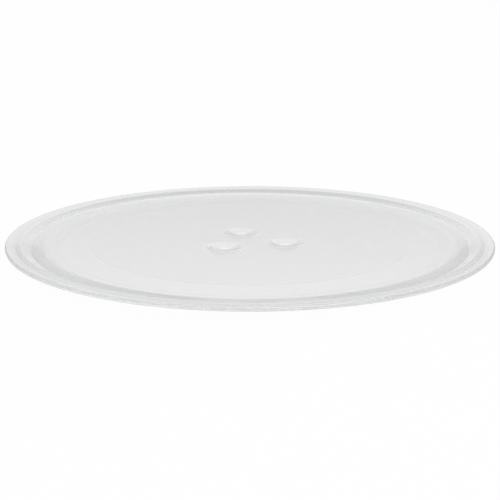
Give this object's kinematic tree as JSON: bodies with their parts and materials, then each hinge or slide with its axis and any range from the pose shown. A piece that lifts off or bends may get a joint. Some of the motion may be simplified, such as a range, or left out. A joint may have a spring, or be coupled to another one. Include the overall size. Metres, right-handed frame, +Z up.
{
  "type": "microwave turntable plate",
  "caption": "Round clear glass turntable plate with a low raised rim, a roller track underneath and drive lugs at its centre that a microwave oven's coupler turns.",
  "frame": {"origin": "on the plate's axis, at the level of the drive lugs' tips", "axes": "+Z up along the plate's axis, food surface upwards; one drive lug lies on +Y"},
  "size_m": [0.245, 0.245, 0.0088],
  "materials": {
    "clear_glass": "clear, polished on top, fine press texture underneath"
  },
  "bodies": {
    "root": {"turntable_plate": "clear_glass"}
  },
  "joints": []
}
